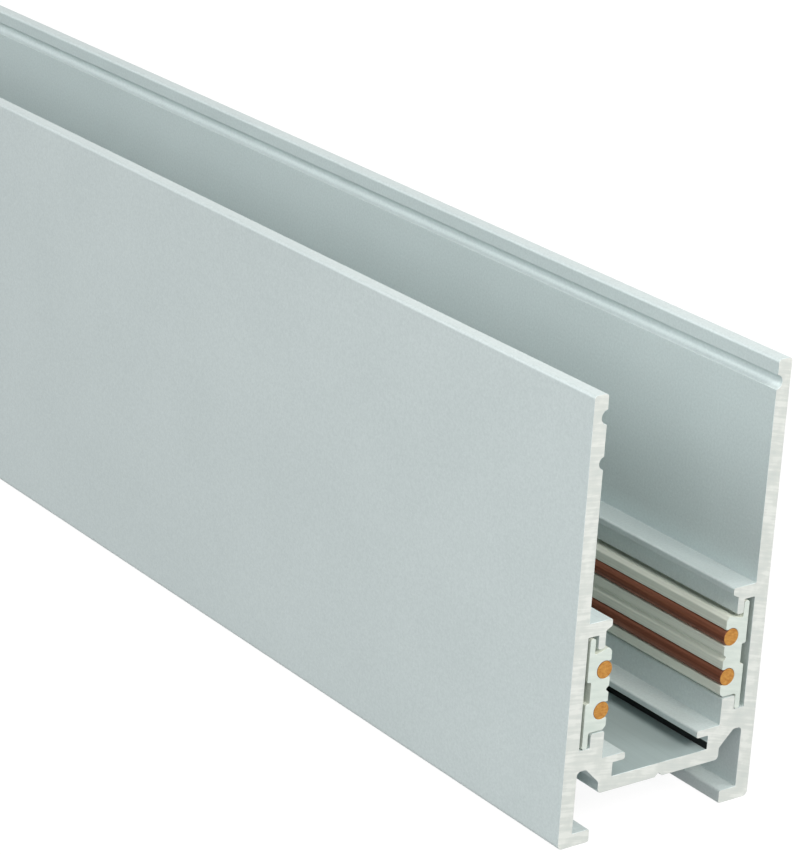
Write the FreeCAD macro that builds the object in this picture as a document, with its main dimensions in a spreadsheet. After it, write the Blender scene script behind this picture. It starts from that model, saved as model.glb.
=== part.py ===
import FreeCAD, Part
import os
import Sketcher
from FreeCAD import Placement, Rotation, Vector

# A length of surface-mounted magnetic lighting track: one aluminium extrusion, two insulator strips
# held behind hooks in its side walls, and two round copper conductors pressed into each strip.
# The track lies along Y and stands on its two feet at Z = 0, and X = 0 is its middle plane.

# Driving sizes in millimetres.
SIZES = {
    # The extrusion as a whole
    "length": 500.0,
    "width": 26.0,
    "height": 50.0,
    "wall": 1.8,
    # The two feet, and the slot between them that takes the fixing clips
    "foot_reach": 4.1,
    "foot_thickness": 1.5,
    "slot_height": 5.4,
    "cavity_width": 2.95,
    "cavity_chamfer": 1.8,
    # The web, with a drill guide below and a lipped groove for a steel strip above
    "web_thickness": 1.6,
    "drill_guide_width": 1.0,
    "drill_guide_depth": 0.45,
    "lip_groove_width": 13.0,
    "lip_groove_height": 1.6,
    "lip_reach": 1.6,
    "lip_thickness": 0.85,
    # The pocket in each wall that holds an insulator strip
    "shelf_thickness": 2.4,
    "pocket_rise": 1.5,
    "pocket_depth": 1.4,
    "pocket_height": 12.7,
    "hook_height": 1.6,
    "lower_hook_thickness": 1.8,
    "upper_hook_thickness": 0.9,
    "ledge_thickness": 1.55,
    "nose_reach": 0.75,
    "nose_thickness": 0.8,
    "nose_slope": 0.4,
    # Grooves in the inner faces of the walls: one each for a cover, and one that marks the polarity side
    "cover_groove_drop": 2.5,
    "cover_groove_width": 1.6,
    "cover_groove_depth": 0.7,
    "polarity_groove_drop": 7.4,
    "polarity_groove_width": 1.4,
    "polarity_groove_depth": 0.55,
    # Rounded edges of the extrusion
    "top_round": 0.4,
    "heel_round": 0.6,
    "cavity_round": 0.5,
    "soft_round": 0.25,
    # The insulator strip: a tongue at its top and bottom, a notch in its back and a line along its face
    "strip_thickness": 2.95,
    "strip_chamfer": 0.4,
    "tongue_thickness": 0.7,
    "tongue_chamfer": 0.2,
    "strip_notch_height": 2.4,
    "strip_notch_depth": 0.5,
    "strip_line_width": 0.75,
    "strip_line_depth": 0.45,
    # Clearances of the strip, which stands on its lower tongue: the right one leans on its hooks, and the
    # left one leans back towards its wall
    "tongue_gap": 0.25,
    "lower_shoulder_gap": 0.2,
    "upper_shoulder_gap": 0.05,
    "right_hook_gap": 0.04,
    "left_wall_gap": 0.35,
    # The round conductors, and the mouths of the grooves that they are pressed through
    "wire_diameter": 2.0,
    "wire_pitch": 4.6,
    "wire_proud": 0.2,
    "wire_mouth": 1.8,
}


def arc_radius(name):
    """Words the radius of a groove that is one arc, from its width and depth."""
    return f"dims.{name}_width ^ 2 / 8 / dims.{name}_depth + dims.{name}_depth / 2"


# Radii and places in the right half of the section, worked out from the driving sizes.
PLACES = {
    # Radii
    "cover_groove_radius": arc_radius("cover_groove"),
    "polarity_groove_radius": arc_radius("polarity_groove"),
    "wire_radius": "dims.wire_diameter / 2",
    # Distances from the middle plane
    "outer_face": "dims.width / 2",
    "wall_face": "places.outer_face - dims.wall",
    "foot_tip": "places.outer_face - dims.foot_reach",
    "cavity_face": "places.wall_face - dims.cavity_width",
    "cavity_bend": "places.cavity_face + dims.cavity_chamfer",
    "drill_guide_edge": "dims.drill_guide_width / 2",
    "lip_groove_end": "dims.lip_groove_width / 2",
    "lip_tip": "places.lip_groove_end - dims.lip_reach",
    "hook_back": "places.wall_face - dims.pocket_depth",
    "lower_hook_face": "places.hook_back - dims.lower_hook_thickness",
    "upper_hook_face": "places.hook_back - dims.upper_hook_thickness",
    "nose_tip": "places.upper_hook_face - dims.nose_reach",
    "cover_groove_centre": "places.wall_face + dims.cover_groove_depth - places.cover_groove_radius",
    "polarity_groove_centre": "places.wall_face + dims.polarity_groove_depth - places.polarity_groove_radius",
    # Distances from the middle plane on a strip that touches its hooks, and how far each strip is from them
    "tongue_face": "places.hook_back",
    "strip_back": "places.tongue_face + dims.tongue_thickness",
    "strip_notch_face": "places.strip_back - dims.strip_notch_depth",
    "strip_face": "places.strip_back - dims.strip_thickness",
    "strip_line_bottom": "places.strip_face + dims.strip_line_depth",
    "wire_front": "places.strip_face - dims.wire_proud",
    "wire_across": "places.wire_front + places.wire_radius",
    "right_strip_set": "dims.right_hook_gap",
    "left_strip_set": "dims.pocket_depth - dims.tongue_thickness - dims.left_wall_gap",
    # Heights above the feet
    "track_top": "dims.height",
    "foot_top": "dims.foot_thickness",
    "web_bottom": "dims.slot_height",
    "drill_guide_top": "places.web_bottom + dims.drill_guide_depth",
    "web_top": "places.web_bottom + dims.web_thickness",
    "lip_bottom": "places.web_top + dims.lip_groove_height",
    "lip_top": "places.lip_bottom + dims.lip_thickness",
    "pocket_bottom": "places.lip_top + dims.pocket_rise",
    "pocket_top": "places.pocket_bottom + dims.pocket_height",
    "cavity_top": "places.pocket_bottom - dims.shelf_thickness",
    "cavity_shoulder": "places.cavity_top - dims.cavity_chamfer",
    "lower_hook_top": "places.pocket_bottom + dims.hook_height",
    "upper_hook_end": "places.pocket_top - dims.hook_height",
    "ledge_top": "places.pocket_top + dims.ledge_thickness",
    "nose_bottom": "places.ledge_top - dims.nose_thickness",
    "nose_root": "places.nose_bottom - dims.nose_slope",
    "cover_groove_height": "places.track_top - dims.cover_groove_drop",
    "polarity_groove_height": "places.track_top - dims.polarity_groove_drop",
    "strip_bottom": "places.pocket_bottom",
    "strip_top": "places.pocket_top - dims.tongue_gap",
    "lower_shoulder": "places.lower_hook_top + dims.lower_shoulder_gap",
    "upper_shoulder": "places.upper_hook_end - dims.upper_shoulder_gap",
    "strip_middle": "places.pocket_bottom + dims.pocket_height / 2",
    "strip_notch_bottom": "places.strip_middle - dims.strip_notch_height / 2",
    "strip_notch_top": "places.strip_middle + dims.strip_notch_height / 2",
    "strip_line_low": "places.strip_middle - dims.strip_line_width / 2",
    "strip_line_high": "places.strip_middle + dims.strip_line_width / 2",
    "lower_wire": "places.strip_middle - dims.wire_pitch / 2",
    "lower_mouth_bottom": "places.lower_wire - dims.wire_mouth / 2",
    "lower_mouth_top": "places.lower_wire + dims.wire_mouth / 2",
    "upper_wire": "places.strip_middle + dims.wire_pitch / 2",
    "upper_mouth_bottom": "places.upper_wire - dims.wire_mouth / 2",
    "upper_mouth_top": "places.upper_wire + dims.wire_mouth / 2",
}

# The two levels of wires in a strip.
LEVELS = ("upper", "lower")

# Names for the two lines of a sketch that every distance is measured from.
MIDDLE = "middle"
BASE = "base"

# Corners of the extrusion's right half: along its inner side to the top, then down the outside.
HALF_SECTION = [
    (MIDDLE, "web_top"),
    ("lip_groove_end", "web_top"),
    ("lip_groove_end", "lip_bottom"),
    ("lip_tip", "lip_bottom"),
    ("lip_tip", "lip_top"),
    ("lower_hook_face", "lip_top"),
    ("lower_hook_face", "lower_hook_top"),
    ("hook_back", "lower_hook_top"),
    ("hook_back", "pocket_bottom"),
    ("wall_face", "pocket_bottom"),
    ("wall_face", "pocket_top"),
    ("hook_back", "pocket_top"),
    ("hook_back", "upper_hook_end"),
    ("upper_hook_face", "upper_hook_end"),
    ("upper_hook_face", "nose_root"),
    ("nose_tip", "nose_bottom"),
    ("nose_tip", "ledge_top"),
    ("wall_face", "ledge_top"),
    ("wall_face", "track_top"),
    ("outer_face", "track_top"),
    ("outer_face", BASE),
    ("foot_tip", BASE),
    ("foot_tip", "foot_top"),
    ("wall_face", "foot_top"),
    ("wall_face", "cavity_top"),
    ("cavity_bend", "cavity_top"),
    ("cavity_face", "cavity_shoulder"),
    ("cavity_face", "web_bottom"),
    ("drill_guide_edge", "web_bottom"),
    (MIDDLE, "drill_guide_top"),
]

# Corners of the right insulator strip: up its face, then down its back.
STRIP_SECTION = [
    ("tongue_face", "strip_bottom"),
    ("tongue_face", "lower_shoulder"),
    ("strip_face", "lower_shoulder"),
    ("strip_face", "strip_line_low"),
    ("strip_line_bottom", "strip_middle"),
    ("strip_face", "strip_line_high"),
    ("strip_face", "upper_shoulder"),
    ("tongue_face", "upper_shoulder"),
    ("tongue_face", "strip_top"),
    ("strip_back", "strip_top"),
    ("strip_back", "strip_notch_top"),
    ("strip_notch_face", "strip_notch_top"),
    ("strip_notch_face", "strip_notch_bottom"),
    ("strip_back", "strip_notch_bottom"),
    ("strip_back", "strip_bottom"),
]

# Edges of the extrusion that the die leaves round: the size of the round, then the corners it is on.
ROUNDED_EDGES = {
    "top_round": [("outer_face", "track_top"), ("wall_face", "track_top")],
    "heel_round": [("outer_face", BASE)],
    "cavity_round": [
        ("wall_face", "cavity_top"),
        ("cavity_bend", "cavity_top"),
        ("cavity_face", "cavity_shoulder"),
        ("cavity_face", "web_bottom"),
    ],
    "soft_round": [
        ("foot_tip", BASE),
        ("foot_tip", "foot_top"),
        ("lip_tip", "lip_bottom"),
        ("lip_tip", "lip_top"),
        ("lower_hook_face", "lower_hook_top"),
        ("hook_back", "lower_hook_top"),
        ("hook_back", "upper_hook_end"),
        ("upper_hook_face", "upper_hook_end"),
        ("nose_tip", "nose_bottom"),
        ("nose_tip", "ledge_top"),
    ],
}

# Edges of the strip that are cut off at 45 degrees: the size of the cut, then the corners it is on.
CHAMFERED_EDGES = {
    "strip_chamfer": [("strip_face", "lower_shoulder"), ("strip_face", "upper_shoulder")],
    "tongue_chamfer": [
        ("tongue_face", "strip_bottom"),
        ("strip_back", "strip_bottom"),
        ("tongue_face", "strip_top"),
        ("strip_back", "strip_top"),
    ],
}

# Sketcher's numbers for the origin, the two axes, and the points of a line or circle.
ORIGIN = (-1, 1)
AXIS_LINES = {MIDDLE: -2, BASE: -1}
START, END, CENTRE = 1, 2, 3

# How near two lengths are to count as the same.
TOLERANCE = 1e-5

doc = FreeCAD.newDocument("magnetic_lighting_track")


def add_sizes():
    """Writes the driving sizes to a sheet, and works the places out from it."""
    dims = doc.addObject("Spreadsheet::Sheet", "dims")
    for row, (name, size) in enumerate(SIZES.items(), start=1):
        dims.set(f"A{row}", name)
        dims.set(f"B{row}", str(size))
        dims.setAlias(f"B{row}", name)
    doc.recompute()
    places = doc.addObject("App::VarSet", "places")
    for name, expression in PLACES.items():
        places.addProperty("App::PropertyFloat", name, "Places")
        places.setExpression(name, expression)
    doc.recompute()
    return places


places = add_sizes()


def value(name):
    """Gives a place in millimetres, where the middle plane and the base are zero."""
    return 0.0 if name in AXIS_LINES else getattr(places, name)


def point(corner):
    """Gives the sketch point of a named corner."""
    across, up = corner
    return Vector(value(across), value(up), 0)


def tie(sketch, constraint, expression):
    """Adds a constraint whose size follows an expression."""
    index = sketch.addConstraint(constraint)
    sketch.setExpression(f"Constraints[{index}]", expression)


def tie_point(sketch, geometry, end, kind, name, mirrored=False):
    """Ties a point to its distance from the origin, along DistanceX or DistanceY."""
    if name in AXIS_LINES:
        sketch.addConstraint(Sketcher.Constraint("PointOnObject", geometry, end, AXIS_LINES[name]))
        return
    ends = [geometry, end, *ORIGIN] if mirrored else [*ORIGIN, geometry, end]
    tie(sketch, Sketcher.Constraint(kind, *ends, value(name)), f"places.{name}")


def origin_plane(body, role):
    """Finds one of a body's own origin planes."""
    return next(plane for plane in body.Origin.OriginFeatures if plane.Role == role)


def add_sketch(body, name):
    """Adds a sketch of the section, on the body's XZ plane."""
    sketch = body.newObject("Sketcher::SketchObject", name)
    sketch.AttachmentSupport = [(origin_plane(body, "XZ_Plane"), "")]
    sketch.MapMode = "FlatFace"
    return sketch


def draw_outline(sketch, corners):
    """Draws a closed outline, level and upright where its corners share a place, and ties its corners."""
    following = corners[1:] + corners[:1]
    first = sketch.GeometryCount
    last = first + len(corners) - 1
    for corner, after in zip(corners, following):
        sketch.addGeometry(Part.LineSegment(point(corner), point(after)))
    for line, (corner, after) in enumerate(zip(corners, following), start=first):
        next_line = first if line == last else line + 1
        sketch.addConstraint(Sketcher.Constraint("Coincident", line, END, next_line, START))
        if corner[0] == after[0]:
            sketch.addConstraint(Sketcher.Constraint("Vertical", line))
        if corner[1] == after[1]:
            sketch.addConstraint(Sketcher.Constraint("Horizontal", line))
    for line, (corner, before) in enumerate(zip(corners, corners[-1:] + corners[:-1]), start=first):
        if corner[0] != before[0]:
            tie_point(sketch, line, START, "DistanceX", corner[0])
        if corner[1] != before[1]:
            tie_point(sketch, line, START, "DistanceY", corner[1])


def draw_circle(sketch, corner, radius, mirrored=False):
    """Draws a circle round a named place, or round its mirror image in the middle plane."""
    centre = point(corner)
    if mirrored:
        centre.x = -centre.x
    circle = sketch.addGeometry(Part.Circle(centre, Vector(0, 0, 1), value(radius)))
    tie_point(sketch, circle, CENTRE, "DistanceX", corner[0], mirrored)
    tie_point(sketch, circle, CENTRE, "DistanceY", corner[1])
    tie(sketch, Sketcher.Constraint("Radius", circle, value(radius)), f"places.{radius}")


def run_lengthwise(body, kind, sketch, name):
    """Pads or pockets a sketch over the whole length of the track, half each way."""
    feature = body.newObject(kind, name)
    feature.Profile = sketch
    feature.SideType = "Symmetric"
    feature.setExpression("Length", "dims.length")
    before = body.Shape.Volume if body.Shape and not body.Shape.isNull() else 0.0
    doc.recompute()
    if abs(feature.Shape.Volume - before) < TOLERANCE:
        raise RuntimeError(f"{name} changes nothing")
    return feature


def edges_at(shape, corners):
    """Names the lengthwise edges through the given corners, on both sides of the middle plane."""
    spots = [point(corner) for corner in corners]
    names = []
    for number, edge in enumerate(shape.Edges, start=1):
        ends = [vertex.Point for vertex in edge.Vertexes]
        if abs(ends[0].y - ends[-1].y) < TOLERANCE:
            continue
        for spot in spots:
            gaps = [max(abs(abs(end.x) - spot.x), abs(end.z - spot.y)) for end in ends]
            if max(gaps) < TOLERANCE:
                names.append(f"Edge{number}")
    return names


def dress_edges(body, kind, name, corners, size_property):
    """Rounds or chamfers the lengthwise edges at the given corners by a driving size."""
    base = body.Tip
    feature = body.newObject(kind, name)
    feature.Base = (base, edges_at(base.Shape, corners))
    feature.setExpression(size_property, f"dims.{name}")
    doc.recompute()


def make_profile():
    """The extrusion: half its section padded and mirrored, then its wall grooves and rounded edges."""
    body = doc.addObject("PartDesign::Body", "track_profile")
    section = add_sketch(body, "half_section")
    draw_outline(section, HALF_SECTION)
    half = run_lengthwise(body, "PartDesign::Pad", section, "half_profile")
    whole = body.newObject("PartDesign::Mirrored", "whole_profile")
    whole.Originals = [half]
    whole.MirrorPlane = (origin_plane(body, "YZ_Plane"), [""])
    body.Tip = whole
    doc.recompute()

    cover = add_sketch(body, "cover_groove_section")
    cover_centre = ("cover_groove_centre", "cover_groove_height")
    for mirrored in (False, True):
        draw_circle(cover, cover_centre, "cover_groove_radius", mirrored)
    run_lengthwise(body, "PartDesign::Pocket", cover, "cover_grooves")

    polarity = add_sketch(body, "polarity_groove_section")
    polarity_centre = ("polarity_groove_centre", "polarity_groove_height")
    draw_circle(polarity, polarity_centre, "polarity_groove_radius", mirrored=True)
    run_lengthwise(body, "PartDesign::Pocket", polarity, "polarity_groove")

    for name, corners in ROUNDED_EDGES.items():
        dress_edges(body, "PartDesign::Fillet", name, corners, "Radius")
    return body


def make_strip(hand, side, turn):
    """An insulator strip with two open grooves for wires, turned about Z to the wall that holds it."""
    label = f"{hand}_insulator_strip"
    body = doc.addObject("PartDesign::Body", label)
    section = add_sketch(body, f"{label}_section")
    draw_outline(section, STRIP_SECTION)
    run_lengthwise(body, "PartDesign::Pad", section, f"{label}_pad")
    for name, corners in CHAMFERED_EDGES.items():
        dress_edges(body, "PartDesign::Chamfer", name, corners, "Size")

    grooves = add_sketch(body, f"{label}_groove_section")
    mouths = add_sketch(body, f"{label}_mouth_section")
    for level in LEVELS:
        draw_circle(grooves, ("wire_across", f"{level}_wire"), "wire_radius")
        low, high = f"{level}_mouth_bottom", f"{level}_mouth_top"
        mouth = [("wire_front", low), ("wire_across", low), ("wire_across", high), ("wire_front", high)]
        draw_outline(mouths, mouth)
    run_lengthwise(body, "PartDesign::Pocket", grooves, f"{label}_wire_grooves")
    run_lengthwise(body, "PartDesign::Pocket", mouths, f"{label}_wire_mouths")
    body.Placement = Placement(Vector(0, 0, 0), Rotation(Vector(0, 0, 1), turn))
    body.setExpression("Placement.Base.x", f"{side} * places.{hand}_strip_set")
    return body


def make_wire(hand, side, level):
    """A round conductor along the whole track, in the strip at one wall and at one level."""
    wire = doc.addObject("Part::Cylinder", f"{hand}_{level}_conductor")
    wire.setExpression("Radius", "places.wire_radius")
    wire.setExpression("Height", "dims.length")
    wire.Placement = Placement(Vector(0, 0, 0), Rotation(Vector(1, 0, 0), 90))
    wire.setExpression("Placement.Base.x", f"{side} * (places.wire_across + places.{hand}_strip_set)")
    wire.setExpression("Placement.Base.y", "dims.length / 2")
    wire.setExpression("Placement.Base.z", f"places.{level}_wire")
    return wire


pieces = [make_profile()]
for hand, side, turn in (("left", -1, 180), ("right", 1, 0)):
    pieces.append(make_strip(hand, side, turn))
    for level in LEVELS:
        pieces.append(make_wire(hand, side, level))
doc.recompute()

for item in doc.Objects:
    if "Invalid" in item.State or "Error" in item.State:
        raise RuntimeError(f"{item.Name} failed: {item.State}")
    if item.isDerivedFrom("Sketcher::SketchObject") and not item.FullyConstrained:
        raise RuntimeError(f"{item.Name} is not fully constrained")
for piece in pieces:
    if piece.Shape.isNull() or not piece.Shape.isValid() or len(piece.Shape.Solids) != 1:
        raise RuntimeError(f"{piece.Label} is not one valid solid")

os.makedirs("parts", exist_ok=True)
for piece in pieces:
    piece.Shape.exportStep(f"parts/{piece.Label}.step")
    print(piece.Label, f"{piece.Shape.Volume:.1f} mm3")
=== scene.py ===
import math

import bmesh
import bpy
from mathutils import Matrix, Vector, noise


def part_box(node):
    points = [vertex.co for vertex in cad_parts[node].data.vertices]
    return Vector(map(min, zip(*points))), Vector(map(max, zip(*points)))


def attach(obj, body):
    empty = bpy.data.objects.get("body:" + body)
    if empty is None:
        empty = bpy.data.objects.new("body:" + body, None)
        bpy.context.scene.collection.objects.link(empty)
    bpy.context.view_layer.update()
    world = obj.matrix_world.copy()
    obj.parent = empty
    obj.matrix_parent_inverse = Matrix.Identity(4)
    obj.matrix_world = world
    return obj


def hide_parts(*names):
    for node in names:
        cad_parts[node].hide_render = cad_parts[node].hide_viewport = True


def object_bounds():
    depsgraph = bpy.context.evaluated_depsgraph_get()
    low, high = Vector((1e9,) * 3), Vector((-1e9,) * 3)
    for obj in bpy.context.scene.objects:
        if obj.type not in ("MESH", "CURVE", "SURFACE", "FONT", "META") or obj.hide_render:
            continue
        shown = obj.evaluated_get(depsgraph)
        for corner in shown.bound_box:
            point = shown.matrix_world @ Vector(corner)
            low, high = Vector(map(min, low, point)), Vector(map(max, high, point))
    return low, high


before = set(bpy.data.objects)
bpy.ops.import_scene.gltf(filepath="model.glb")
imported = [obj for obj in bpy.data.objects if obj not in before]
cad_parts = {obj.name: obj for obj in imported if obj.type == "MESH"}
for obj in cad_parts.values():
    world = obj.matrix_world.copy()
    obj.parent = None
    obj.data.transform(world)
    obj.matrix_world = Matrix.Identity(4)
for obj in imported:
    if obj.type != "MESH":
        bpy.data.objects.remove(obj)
CAD_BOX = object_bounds()
MM = 0.001

# The photograph's frame, and the camera that took it: its place is in millimetres from the middle
# of the near end's bottom edge
IMAGE_WIDTH = 794
IMAGE_HEIGHT = 855
FOCAL_PIXELS = 3314.4
SENSOR_WIDTH = 36.0
CAMERA_LEFT = 212.03
CAMERA_BEFORE = 232.92
CAMERA_UP = 159.10
CAMERA_TURN = math.radians(-36.92)
CAMERA_DIP = math.radians(20.39)
CAMERA_ROLL = math.radians(3.54)

# Corners along the length: how far they are eased, from what turn on, and how much of a side they
# may take
PROFILE_EASE = 0.10 * MM
STRIP_EASE = 0.25 * MM
EASED_TURN = math.radians(40.0)
EASE_STEPS = 3
SIDE_SHARE = 0.4

# Rims of the sawn ends: how far they are broken, by what share that wanders, and over what length
PROFILE_BROKEN_EDGE = 0.025 * MM
STRIP_BROKEN_EDGE = 0.03 * MM
WIRE_BROKEN_EDGE = 0.10 * MM
RIM_WANDER = 0.6
RIM_WANDER_LENGTH = 1.5 * MM

# Meshes: the spacing of points on an outline, how near points count as one, and the turn from which
# an edge looks sharp
OUTLINE_STEP = 0.8 * MM
SAME_PLACE = 0.0005 * MM
SHARP_TURN = math.radians(38.0)
WIRE_SIDES = 64

# A piece's finishes, in the order of its material slots; the last is painted shade for grooves
SKIN, CUT, CHANNEL_FLOOR, GROOVE_SHADE = range(4)

# Where the extrusion's section changes its finish, across from its middle and up
WEB_TOP = 7.0 * MM
# Up to this height the back walls of the grooves under the lips carry the painted shade
GROOVE_SHADE_TOP = 7.8 * MM
GROOVE_BACK = 6.5 * MM

# A strip's shoulder under the upper hook: its height, where its back half starts, and how far its
# back falls away
SHOULDER = 22.0 * MM
SHOULDER_BACK = 9.0 * MM
SEAT_DROP = 0.5 * MM

# The range that a noise pattern mostly keeps to
NOISE_LOW = 0.3
NOISE_HIGH = 0.7

WHITE = "#FFFFFF"


def linear(hex_colour):
    """Turns an sRGB hex value into linear red, green, blue and alpha."""
    channels = [int(hex_colour[at:at + 2], 16) / 255.0 for at in (1, 3, 5)]
    light = [c / 12.92 if c <= 0.04045 else ((c + 0.055) / 1.055) ** 2.4 for c in channels]
    return (*light, 1.0)


def add_node(tree, kind, sockets=None, stops=(), **settings):
    """Adds a node. Sockets take a value or the output that feeds them. Stops are a ramp's colours."""
    node = tree.nodes.new(kind)
    for name, setting in settings.items():
        setattr(node, name, setting)
    for name, source in (sockets or {}).items():
        if isinstance(source, bpy.types.NodeSocket):
            tree.links.new(source, node.inputs[name])
        else:
            node.inputs[name].default_value = source
    for index, (position, colour) in enumerate(stops):
        ramp = node.color_ramp.elements
        stop = ramp[index] if index < len(ramp) else ramp.new(position)
        stop.position = position
        stop.color = linear(colour)
    return node


def empty_tree(owner):
    """The node tree of a material or a world, with nothing in it yet."""
    owner.use_nodes = True
    owner.node_tree.nodes.clear()
    return owner.node_tree


def start_material(name, **sockets):
    """A new material with one surface shader, and the values of its sockets that hold all over it."""
    material = bpy.data.materials.new(name)
    tree = empty_tree(material)
    named = {socket.replace("_", " "): value for socket, value in sockets.items()}
    surface = add_node(tree, "ShaderNodeBsdfPrincipled", named)
    add_node(tree, "ShaderNodeOutputMaterial", {"Surface": surface.outputs["BSDF"]})
    return material, tree, surface


def feed(tree, surface, **outputs):
    """Links outputs to a surface shader's sockets, where a pattern varies them."""
    for socket, output in outputs.items():
        tree.links.new(output, surface.inputs[socket.replace("_", " ")])


def per_metre(size):
    """How often a pattern of this size, in millimetres, repeats in a metre."""
    return 1.0 / (size * MM)


def drawn_lines(tree, width, length, detail):
    """Lines or streaks along the track, of this width and length in millimetres."""
    place = add_node(tree, "ShaderNodeTexCoord").outputs["Object"]
    drawn_out = add_node(tree, "ShaderNodeMapping", {
        "Vector": place, "Scale": (per_metre(width), per_metre(length), per_metre(width))})
    return add_node(tree, "ShaderNodeTexNoise", {
        "Vector": drawn_out.outputs["Vector"], "Scale": 1.0, "Detail": detail}).outputs["Fac"]


def saw_tracks(tree, spacing, length):
    """The tracks of a saw blade's teeth across a cut: arcs about the blade's axle, far below the cut."""
    axle = (-35.0 * MM, 0.0, -140.0 * MM)
    place = add_node(tree, "ShaderNodeTexCoord").outputs["Object"]
    from_axle = add_node(tree, "ShaderNodeVectorMath", {0: place, 1: axle}, operation="SUBTRACT")
    flat = add_node(tree, "ShaderNodeVectorMath", {
        0: from_axle.outputs["Vector"], 1: (1.0, 0.0, 1.0)}, operation="MULTIPLY")
    reach = add_node(tree, "ShaderNodeVectorMath", {0: flat.outputs["Vector"]}, operation="LENGTH")
    across = add_node(tree, "ShaderNodeMath", {
        0: reach.outputs["Value"], 1: per_metre(spacing)}, operation="MULTIPLY")
    side = add_node(tree, "ShaderNodeSeparateXYZ", {"Vector": place})
    along = add_node(tree, "ShaderNodeMath", {
        0: side.outputs["X"], 1: per_metre(length)}, operation="MULTIPLY")
    on_track = add_node(tree, "ShaderNodeCombineXYZ", {
        "X": across.outputs["Value"], "Y": along.outputs["Value"]})
    return add_node(tree, "ShaderNodeTexNoise", {
        "Vector": on_track.outputs["Vector"], "Scale": 1.0, "Detail": 3.0, "Roughness": 0.55}).outputs["Fac"]


# Matt anodised aluminium, extruded, then etched in caustic before anodising. The etch leaves a fine
# even grain without shine, and the die leaves faint straight lines along the length. The grain is
# drawn coarser than it is, or it would not show.
def anodised_aluminium():
    etch_grain = 0.28
    die_line = 0.35
    die_line_length = 160.0
    die_line_share = 0.08
    cloud = 14.0
    cloud_share = 0.25
    relief_depth = 0.01 * MM
    material, tree, surface = start_material(
        "silver_anodised_aluminium", Metallic=0.15, Specular_IOR_Level=0.3)
    place = add_node(tree, "ShaderNodeTexCoord").outputs["Object"]
    etch = add_node(tree, "ShaderNodeTexNoise", {
        "Vector": place, "Scale": per_metre(etch_grain), "Detail": 2.0, "Roughness": 0.6}).outputs["Fac"]
    lines = drawn_lines(tree, die_line, die_line_length, 3.0)
    clouds = add_node(tree, "ShaderNodeTexNoise", {
        "Vector": place, "Scale": per_metre(cloud), "Detail": 2.0}).outputs["Fac"]
    grain_and_lines = add_node(tree, "ShaderNodeMath", {
        0: lines, 1: die_line_share, 2: etch}, operation="MULTIPLY_ADD").outputs["Value"]
    tone = add_node(tree, "ShaderNodeMath", {
        0: clouds, 1: cloud_share, 2: grain_and_lines}, operation="MULTIPLY_ADD").outputs["Value"]
    colour = add_node(tree, "ShaderNodeValToRGB", {"Fac": tone}, stops=[
        (0.40, "#C4D0D0"), (0.95, "#D3DEDE")])
    shine = add_node(tree, "ShaderNodeMapRange", {
        "Value": etch, "From Min": NOISE_LOW, "From Max": NOISE_HIGH, "To Min": 0.40, "To Max": 0.52})
    relief = add_node(tree, "ShaderNodeBump", {
        "Height": grain_and_lines, "Strength": 0.55, "Distance": relief_depth})
    feed(tree, surface, Base_Color=colour.outputs["Color"], Roughness=shine.outputs["Result"],
         Normal=relief.outputs["Normal"])
    return material


# The same aluminium on the channel's floor, coloured darker and greyer than the walls, and even,
# without the etched grain.
def smooth_aluminium():
    die_line = 0.30
    die_line_length = 200.0
    material, tree, surface = start_material(
        "smooth_anodised_aluminium", Metallic=0.15, Specular_IOR_Level=0.3)
    lines = drawn_lines(tree, die_line, die_line_length, 3.0)
    colour = add_node(tree, "ShaderNodeValToRGB", {"Fac": lines}, stops=[
        (NOISE_LOW, "#A2B1B1"), (NOISE_HIGH, "#A8B7B7")])
    shine = add_node(tree, "ShaderNodeMapRange", {
        "Value": lines, "From Min": NOISE_LOW, "From Max": NOISE_HIGH, "To Min": 0.47, "To Max": 0.52})
    feed(tree, surface, Base_Color=colour.outputs["Color"], Roughness=shine.outputs["Result"])
    return material


# Painted shade: a near-black matt colour, low on the back wall of each groove under a lip, where
# the lip's shade falls deepest. It stands in for shadow, not for a coating, and is streaked along
# the length.
def painted_groove_shade():
    streak = 0.4
    streak_length = 30.0
    material, tree, surface = start_material(
        "painted_groove_shade_black", Roughness=0.9, Specular_IOR_Level=0.1)
    streaks = drawn_lines(tree, streak, streak_length, 3.0)
    colour = add_node(tree, "ShaderNodeValToRGB", {"Fac": streaks}, stops=[
        (NOISE_LOW, "#161B1C"), (NOISE_HIGH, "#2A2F2E")])
    feed(tree, surface, Base_Color=colour.outputs["Color"])
    return material


# Bare aluminium, sawn through after anodising. The teeth leave bright fresh metal with thin tracks
# that run across the cut, some bright and some dull.
def sawn_aluminium():
    track_spacing = 0.45
    track_length = 7.0
    track_depth = 0.03 * MM
    smear = 1.6
    smear_share = 0.7
    material, tree, surface = start_material("sawn_bare_aluminium", Metallic=1.0)
    tracks = saw_tracks(tree, track_spacing, track_length)
    place = add_node(tree, "ShaderNodeTexCoord").outputs["Object"]
    smears = add_node(tree, "ShaderNodeTexNoise", {
        "Vector": place, "Scale": per_metre(smear), "Detail": 2.0}).outputs["Fac"]
    tone = add_node(tree, "ShaderNodeMath", {
        0: smears, 1: smear_share, 2: tracks}, operation="MULTIPLY_ADD").outputs["Value"]
    colour = add_node(tree, "ShaderNodeValToRGB", {"Fac": tone}, stops=[
        (0.50, "#C1C7C3"), (0.85, "#CBCFCA"), (1.00, "#D7DAD5")])
    shine = add_node(tree, "ShaderNodeMapRange", {
        "Value": tracks, "From Min": NOISE_LOW, "From Max": NOISE_HIGH, "To Min": 0.48, "To Max": 0.40})
    relief = add_node(tree, "ShaderNodeBump", {
        "Height": tracks, "Strength": 0.08, "Distance": track_depth})
    feed(tree, surface, Base_Color=colour.outputs["Color"], Roughness=shine.outputs["Result"],
         Normal=relief.outputs["Normal"])
    return material


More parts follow.
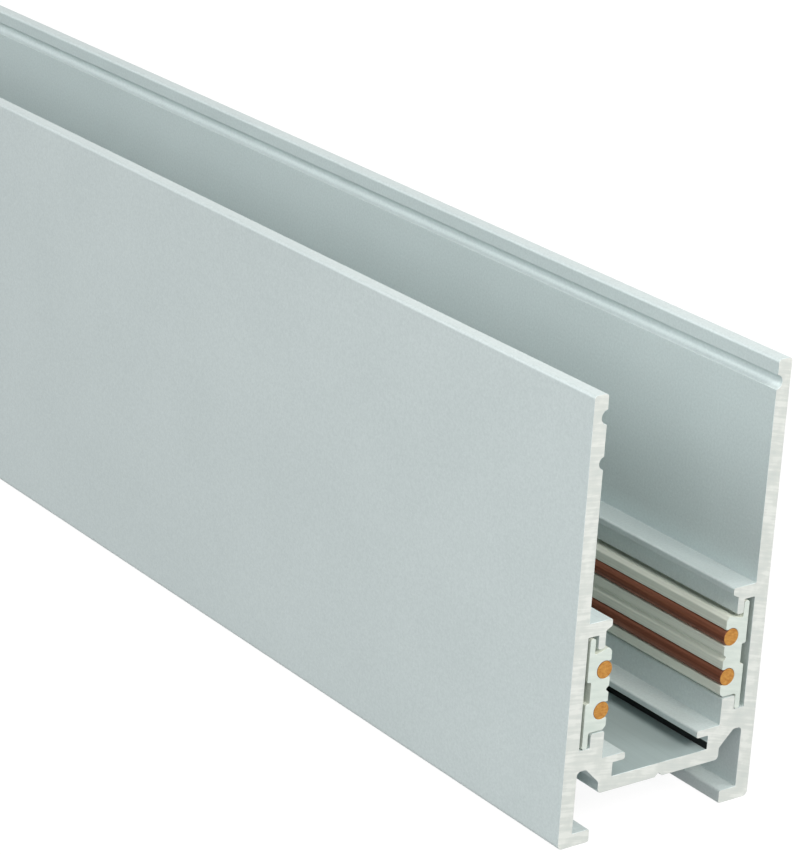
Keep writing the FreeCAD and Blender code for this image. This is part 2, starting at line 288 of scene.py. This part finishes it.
# Rigid off-white PVC, extruded. The die gives it a satin skin with fine lines along the length.
def extruded_plastic():
    die_line = 0.22
    die_line_length = 120.0
    die_line_depth = 0.02 * MM
    material, tree, surface = start_material("extruded_white_pvc", IOR=1.53)
    lines = drawn_lines(tree, die_line, die_line_length, 2.0)
    colour = add_node(tree, "ShaderNodeValToRGB", {"Fac": lines}, stops=[
        (NOISE_LOW, "#D0D5C9"), (NOISE_HIGH, "#DDE2D6")])
    shine = add_node(tree, "ShaderNodeMapRange", {
        "Value": lines, "From Min": NOISE_LOW, "From Max": NOISE_HIGH, "To Min": 0.52, "To Max": 0.40})
    relief = add_node(tree, "ShaderNodeBump", {
        "Height": lines, "Strength": 0.4, "Distance": die_line_depth})
    feed(tree, surface, Base_Color=colour.outputs["Color"], Roughness=shine.outputs["Result"],
         Normal=relief.outputs["Normal"])
    return material


# The same PVC where the saw went through. The teeth tear it a little, so it is duller and cooler,
# with soft tracks.
def sawn_plastic():
    track_spacing = 0.5
    track_length = 3.0
    track_depth = 0.03 * MM
    material, tree, surface = start_material("sawn_white_pvc", IOR=1.53, Roughness=0.68)
    tracks = saw_tracks(tree, track_spacing, track_length)
    colour = add_node(tree, "ShaderNodeValToRGB", {"Fac": tracks}, stops=[
        (NOISE_LOW, "#BFCBC5"), (NOISE_HIGH, "#CDD7D1")])
    relief = add_node(tree, "ShaderNodeBump", {
        "Height": tracks, "Strength": 0.3, "Distance": track_depth})
    feed(tree, surface, Base_Color=colour.outputs["Color"], Normal=relief.outputs["Normal"])
    return material


# Copper wire, drawn and left bare. It has gone brown in the air, unevenly, in streaks along the
# wire.
def tarnished_copper():
    streak = 0.30
    streak_length = 26.0
    streak_depth = 0.015 * MM
    material, tree, surface = start_material("drawn_copper_tarnished", Metallic=0.7)
    streaks = drawn_lines(tree, streak, streak_length, 3.0)
    colour = add_node(tree, "ShaderNodeValToRGB", {"Fac": streaks}, stops=[
        (0.28, "#714231"), (0.55, "#8E5640"), (0.75, "#A66A4F")])
    shine = add_node(tree, "ShaderNodeMapRange", {
        "Value": streaks, "From Min": NOISE_LOW, "From Max": NOISE_HIGH, "To Min": 0.52, "To Max": 0.40})
    relief = add_node(tree, "ShaderNodeBump", {
        "Height": streaks, "Strength": 0.4, "Distance": streak_depth})
    feed(tree, surface, Base_Color=colour.outputs["Color"], Roughness=shine.outputs["Result"],
         Normal=relief.outputs["Normal"])
    return material


# Copper where the saw went through. It is fresh and orange, with fine tracks of the teeth.
def sawn_copper():
    track_spacing = 0.25
    track_length = 0.6
    track_depth = 0.02 * MM
    material, tree, surface = start_material("sawn_bright_copper", Metallic=1.0)
    tracks = saw_tracks(tree, track_spacing, track_length)
    colour = add_node(tree, "ShaderNodeValToRGB", {"Fac": tracks}, stops=[
        (NOISE_LOW, "#A87037"), (NOISE_HIGH, "#C6954E")])
    shine = add_node(tree, "ShaderNodeMapRange", {
        "Value": tracks, "From Min": NOISE_LOW, "From Max": NOISE_HIGH, "To Min": 0.46, "To Max": 0.32})
    relief = add_node(tree, "ShaderNodeBump", {
        "Height": tracks, "Strength": 0.4, "Distance": track_depth})
    feed(tree, surface, Base_Color=colour.outputs["Color"], Roughness=shine.outputs["Result"],
         Normal=relief.outputs["Normal"])
    return material


def add_object(name, data):
    """Puts a mesh, a lamp or a camera into the scene."""
    added = bpy.data.objects.new(name, data)
    bpy.context.scene.collection.objects.link(added)
    return added


def finish_mesh(name, shape):
    """Turns a shape that is being edited into a mesh."""
    mesh = bpy.data.meshes.new(name)
    shape.to_mesh(mesh)
    shape.free()
    return mesh


def enclosed_area(outline):
    """Twice the area inside an outline, below zero where it runs clockwise."""
    return sum(here.cross(onward) for here, onward in zip(outline, outline[1:] + outline[:1]))


def near_end_outline(node):
    """The corners of a node's near end, in order round it, as points across and up."""
    end_face = bmesh.new()
    end_face.from_mesh(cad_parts[node].data)
    bmesh.ops.remove_doubles(end_face, verts=end_face.verts, dist=SAME_PLACE)
    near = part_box(node)[0].y
    cut = {face for face in end_face.faces
           if all(corner.co.y - near < SAME_PLACE for corner in face.verts)}
    rim = [edge for edge in end_face.edges if len(cut.intersection(edge.link_faces)) == 1]
    beside = {}
    for edge in rim:
        first, second = edge.verts
        beside.setdefault(first, []).append(second)
        beside.setdefault(second, []).append(first)
    start = rim[0].verts[0]
    before, here = start, beside[start][0]
    outline = [start.co.xz]
    while here is not start:
        outline.append(here.co.xz)
        onward = next(corner for corner in beside[here] if corner is not before)
        before, here = here, onward
    end_face.free()
    if enclosed_area(outline) < 0:
        outline.reverse()
    return outline


def ease_corners(outline, ease):
    """Rounds each sharp corner of an outline, as a die leaves it."""
    eased = []
    count = len(outline)
    for at, corner in enumerate(outline):
        to_last = outline[at - 1] - corner
        to_next = outline[(at + 1) % count] - corner
        turn = math.pi - to_last.angle(to_next)
        if turn < EASED_TURN:
            eased.append(corner)
            continue
        room = SIDE_SHARE * min(to_last.length, to_next.length)
        reach = min(ease * math.tan(turn / 2), room)
        start = corner + to_last.normalized() * reach
        end = corner + to_next.normalized() * reach
        for step in range(EASE_STEPS + 1):
            share = step / EASE_STEPS
            eased.append(start.lerp(corner, share).lerp(corner.lerp(end, share), share))
    return eased


def space_out(outline):
    """Adds points on an outline's long sides, so that its rim can wander a little."""
    spaced = []
    for here, onward in zip(outline, outline[1:] + outline[:1]):
        steps = max(1, round((onward - here).length / OUTLINE_STEP))
        spaced.extend(here.lerp(onward, step / steps) for step in range(steps))
    return spaced


def draw_in(outline, breadth):
    """An outline drawn in by a breadth that wanders from place to place."""
    drawn = []
    count = len(outline)
    for at, point in enumerate(outline):
        from_last = point - outline[at - 1]
        to_next = outline[(at + 1) % count] - point
        inward = (from_last.orthogonal().normalized() + to_next.orthogonal().normalized()).normalized()
        uneven = 1.0 + RIM_WANDER * noise.noise(Vector((point.x, point.y, 0.0)) / RIM_WANDER_LENGTH)
        room = SIDE_SHARE * min(from_last.length, to_next.length)
        drawn.append(point + inward * min(room, breadth * uneven))
    return drawn


def sweep(name, node, outline, broken_edge, finishes, rim=CUT, finish_of=None):
    """Runs an outline along a node's length, with broken rims at the sawn ends.

    The rims have one finish, and finish_of gives each side its own.
    """
    near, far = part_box(node)[0].y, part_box(node)[1].y
    drawn = draw_in(outline, broken_edge)
    rings = [(drawn, near), (outline, near + broken_edge),
             (outline, far - broken_edge), (drawn, far)]
    shape = bmesh.new()
    near_cut, near_rim, far_rim, far_cut = [
        [shape.verts.new((point.x, y, point.y)) for point in ring] for ring, y in rings]
    count = len(outline)
    for at in range(count):
        onward = (at + 1) % count
        length_finish = finish_of((outline[at] + outline[onward]) / 2) if finish_of else SKIN
        bands = [(near_cut, near_rim, rim),
                 (near_rim, far_rim, length_finish),
                 (far_rim, far_cut, rim)]
        for first, second, finish in bands:
            side = shape.faces.new((first[at], first[onward], second[onward], second[at]))
            side.material_index = finish
            side.smooth = True
    for end in (near_cut, far_cut):
        shape.faces.new(end).material_index = CUT
    bmesh.ops.recalc_face_normals(shape, faces=shape.faces)
    mesh = finish_mesh(name, shape)
    mesh.set_sharp_from_angle(angle=SHARP_TURN)
    for finish in finishes:
        mesh.materials.append(finish)
    piece = add_object(name, mesh)
    even_shading = piece.modifiers.new("even_shading", "WEIGHTED_NORMAL")
    even_shading.keep_sharp = True
    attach(piece, "root")
    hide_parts(node)
    return piece


def profile_finish(middle):
    """The finish of the extrusion's side that has this middle."""
    across, up = abs(middle.x), middle.y
    # Low on the back wall of each groove under a lip: painted shade, not a coating
    if abs(across - GROOVE_BACK) < PROFILE_EASE and WEB_TOP <= up < GROOVE_SHADE_TOP:
        return GROOVE_SHADE
    if across < GROOVE_BACK and abs(up - WEB_TOP) < PROFILE_EASE:
        return CHANNEL_FLOOR
    return SKIN


def make_profile():
    """The aluminium extrusion. Its skin runs over the ends' broken rims."""
    outline = space_out(ease_corners(near_end_outline("track_profile"), PROFILE_EASE))
    # The fourth finish is painted shade for the back walls of the grooves under the lips
    finishes = [anodised_aluminium(), sawn_aluminium(), smooth_aluminium(), painted_groove_shade()]
    profile = sweep("aluminium_extrusion", "track_profile", outline, PROFILE_BROKEN_EDGE, finishes,
                    rim=SKIN, finish_of=profile_finish)


def drop_seat(outline):
    """Lets the back of a strip's shoulder fall away under the upper hook, which leaves an open seam."""
    dropped = []
    for point in outline:
        at_back = abs(point.x) > SHOULDER_BACK and abs(point.y - SHOULDER) < SAME_PLACE
        dropped.append(point - Vector((0.0, SEAT_DROP)) if at_back else point)
    return dropped


def make_strips():
    """The two insulating strips behind the hooks."""
    finishes = [extruded_plastic(), sawn_plastic()]
    for side in ("left", "right"):
        node = side + "_insulator_strip"
        outline = space_out(ease_corners(drop_seat(near_end_outline(node)), STRIP_EASE))
        strip = sweep(side + "_plastic_strip", node, outline, STRIP_BROKEN_EDGE, finishes)


def make_wires():
    """The four round copper wires in the strips. The brown skin runs over the ends' broken rims."""
    finishes = [tarnished_copper(), sawn_copper()]
    turns = [2 * math.pi * at / WIRE_SIDES for at in range(WIRE_SIDES)]
    for side in ("left", "right"):
        for level in ("upper", "lower"):
            node = f"{side}_{level}_conductor"
            low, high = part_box(node)
            middle = ((low + high) / 2).xz
            radius = (high.z - low.z) / 2
            outline = [middle + radius * Vector((math.cos(turn), math.sin(turn))) for turn in turns]
            wire = sweep(f"{side}_{level}_copper_wire", node, outline, WIRE_BROKEN_EDGE, finishes,
                         rim=SKIN)


def paint_background(tree, plain, seen):
    """Shows one shader to light that falls on the track, and another to the eye and in reflections."""
    path = add_node(tree, "ShaderNodeLightPath")
    mirrored = add_node(tree, "ShaderNodeMath", {
        0: path.outputs["Is Glossy Ray"], 1: path.outputs["Is Transmission Ray"]}, operation="MAXIMUM")
    looked_at = add_node(tree, "ShaderNodeMath", {
        0: mirrored.outputs["Value"], 1: path.outputs["Is Camera Ray"]}, operation="MAXIMUM")
    return add_node(tree, "ShaderNodeMixShader", {
        0: looked_at.outputs["Value"], 1: plain, 2: seen}).outputs["Shader"]


# White paper under bright light, without shine. The eye sees it as plain white, apart from the
# track's soft shadow.
def white_paper():
    glow = 0.93
    material = bpy.data.materials.new("white_paper_floor")
    material.cycles.emission_sampling = "NONE"
    tree = empty_tree(material)
    paper = add_node(tree, "ShaderNodeBsdfDiffuse", {"Color": linear("#707070")}).outputs["BSDF"]
    shadow = add_node(tree, "ShaderNodeBsdfDiffuse", {"Color": linear("#606060")}).outputs["BSDF"]
    white = add_node(tree, "ShaderNodeEmission", {
        "Color": linear(WHITE), "Strength": glow}).outputs["Emission"]
    seen = add_node(tree, "ShaderNodeAddShader", {0: shadow, 1: white}).outputs["Shader"]
    add_node(tree, "ShaderNodeOutputMaterial", {"Surface": paint_background(tree, paper, seen)})
    return material


def lay_floor():
    """A plain white floor that keeps a soft shadow of the track. It lies a hair below the feet."""
    reach = 20.0
    height = -0.02 * MM
    shape = bmesh.new()
    corners = [(-reach, -reach), (reach, -reach), (reach, reach), (-reach, reach)]
    shape.faces.new([shape.verts.new((x, y, height)) for x, y in corners])
    mesh = finish_mesh("floor", shape)
    mesh.materials.append(white_paper())
    floor = add_object("floor", mesh)


def light_studio():
    """A white room with soft lamps on all sides. Most light comes from the left and over the near end."""
    room_light = 0.15
    world = bpy.data.worlds.new("white_studio")
    bpy.context.scene.world = world
    world.cycles.sampling_method = "NONE"
    tree = empty_tree(world)
    room = add_node(tree, "ShaderNodeBackground", {
        "Color": linear(WHITE), "Strength": room_light}).outputs["Background"]
    white = add_node(tree, "ShaderNodeBackground", {
        "Color": linear(WHITE), "Strength": 1.0}).outputs["Background"]
    add_node(tree, "ShaderNodeOutputWorld", {"Surface": paint_background(tree, room, white)})
    # Each lamp's name, place, what it points at, width, watts and tint
    lamps = [("left_lamp", (-0.45, -0.25, 0.24), (0.0, -0.25, 0.03), 0.35, 0.24, WHITE),
             ("upper_left_lamp", (-0.84, -0.15, 0.74), (0.0, -0.15, 0.03), 0.5, 2.6, WHITE),
             ("back_left_lamp", (-0.75, 0.25, 0.50), (0.0, -0.10, 0.04), 0.5, 3.3, WHITE),
             ("low_near_lamp", (-0.16, -0.36, 0.05), (-0.01, -0.25, 0.01), 0.12, 0.08, WHITE),
             ("low_front_lamp", (0.05, -0.60, 0.10), (0.0, -0.25, 0.03), 0.3, 0.10, WHITE),
             ("front_lamp", (0.0, -0.54, 0.27), (0.0, -0.25, 0.03), 0.14, 1.20, "#FFFAF5"),
             ("right_front_lamp", (0.67, -0.82, 0.58), (0.0, -0.15, 0.03), 0.5, 4.9, WHITE),
             ("low_right_lamp", (0.70, 0.05, 0.07), (0.0, 0.0, 0.03), 0.12, 2.5, WHITE),
             ("low_back_lamp", (0.0, 0.60, 0.07), (0.0, 0.25, 0.03), 0.12, 1.1, WHITE)]
    for name, place, aim, width, watts, tint in lamps:
        lamp = bpy.data.lights.new(name, "AREA")
        lamp.size = width
        lamp.energy = watts
        lamp.color = linear(tint)[:3]
        holder = add_object(name, lamp)
        holder.location = place
        holder.rotation_euler = (Vector(aim) - Vector(place)).to_track_quat("-Z", "Y").to_euler()


def set_camera():
    """The camera at the photograph's place and angle."""
    near = CAD_BOX[0].y
    camera = bpy.data.cameras.new("photo_camera")
    camera.sensor_width = SENSOR_WIDTH
    camera.lens = FOCAL_PIXELS * SENSOR_WIDTH / max(IMAGE_WIDTH, IMAGE_HEIGHT)
    turned = Matrix.Rotation(CAMERA_TURN, 4, "Z")
    dipped = Matrix.Rotation(math.pi / 2 - CAMERA_DIP, 4, "X")
    rolled = Matrix.Rotation(CAMERA_ROLL, 4, "Z")
    holder = add_object("photo_camera", camera)
    holder.matrix_world = turned @ dipped @ rolled
    holder.location = (-CAMERA_LEFT * MM, near - CAMERA_BEFORE * MM, CAMERA_UP * MM)
    bpy.context.scene.camera = holder


make_profile()
make_strips()
make_wires()
lay_floor()
light_studio()
set_camera()
bpy.context.scene.view_settings.view_transform = "Standard"
